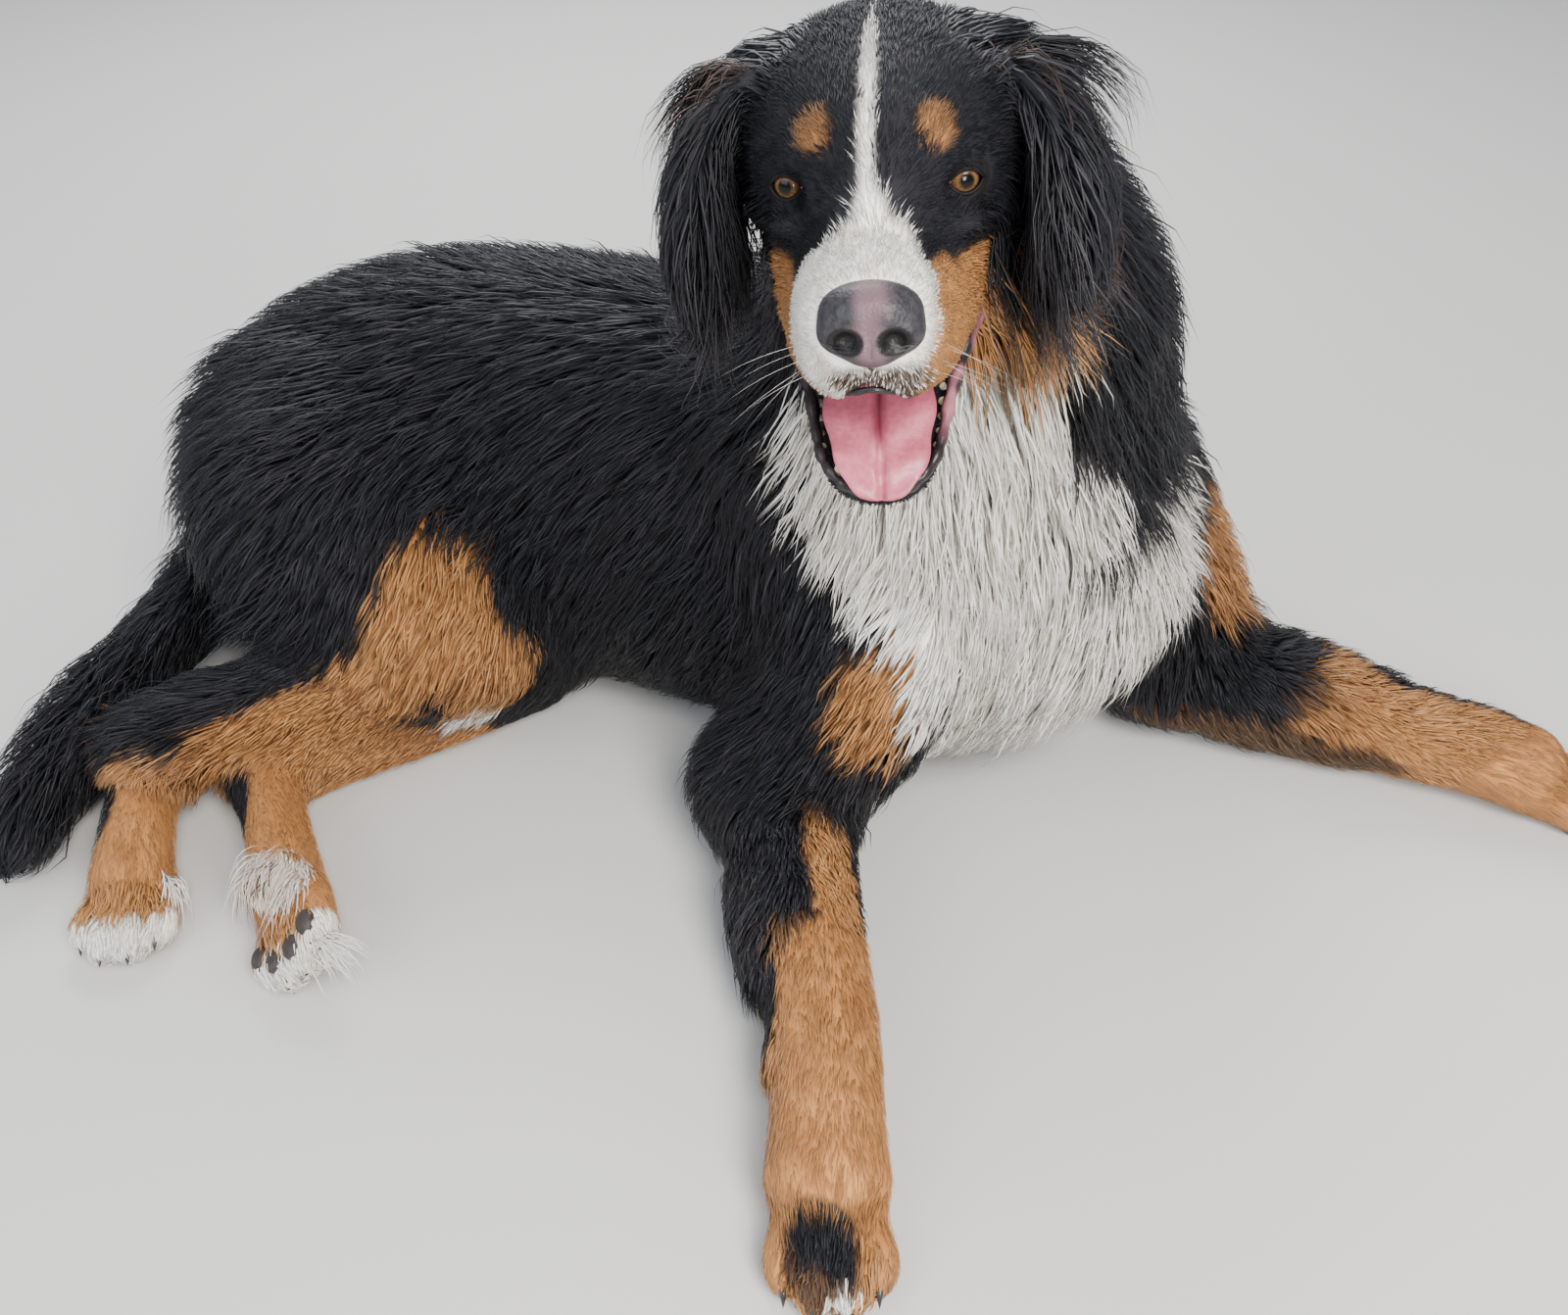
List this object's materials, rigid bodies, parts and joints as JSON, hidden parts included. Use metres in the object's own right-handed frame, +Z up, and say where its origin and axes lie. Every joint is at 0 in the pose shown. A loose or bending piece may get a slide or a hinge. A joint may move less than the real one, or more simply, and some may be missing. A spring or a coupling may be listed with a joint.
{
  "type": "bernese mountain dog",
  "caption": "Life-size still model of a long-coated, tricoloured mountain dog lying on its chest with its head up, mouth open and forelegs stretched out.",
  "frame": {"origin": "on the floor under the middle of the dog's bounding box", "axes": "+Y towards the rump along the trunk, +X towards the dog's left side, +Z up"},
  "size_m": [0.8618, 1.3928, 0.7114],
  "materials": {
    "coat_black": "long soft black hair with a blue sheen",
    "coat_rust": "short to middling rust hair",
    "coat_white": "soft white and cream hair",
    "nose_leather": "pebbled, moist",
    "tongue": "wet, satin",
    "lips": "moist, satin",
    "eye": "glossy, brown",
    "claw": "horn, satin",
    "tooth": "enamel"
  },
  "bodies": {
    "root": {"eye_right": "eye", "eye_left": "eye", "nose": "nose_leather", "tongue": "tongue", "head": "coat_black", "lower_jaw": "coat_white", "ear_right": "coat_black", "ear_left": "coat_black", "neck": "coat_black", "upper_arm_right": "coat_black", "upper_arm_left": "coat_black", "torso_front": "coat_black", "torso_rear": "coat_black", "thigh_right": "coat_black", "forearm_right": "coat_rust", "front_paw_right": "coat_rust", "shank_right": "coat_rust", "hind_paw_right": "coat_white", "hock_right": "coat_rust", "thigh_left": "coat_black", "forearm_left": "coat_rust", "front_paw_left": "coat_rust", "shank_left": "coat_rust", "hind_paw_left": "coat_white", "hock_left": "coat_rust", "tail_base": "coat_black", "tail_tip": "coat_black"}
  },
  "joints": []
}
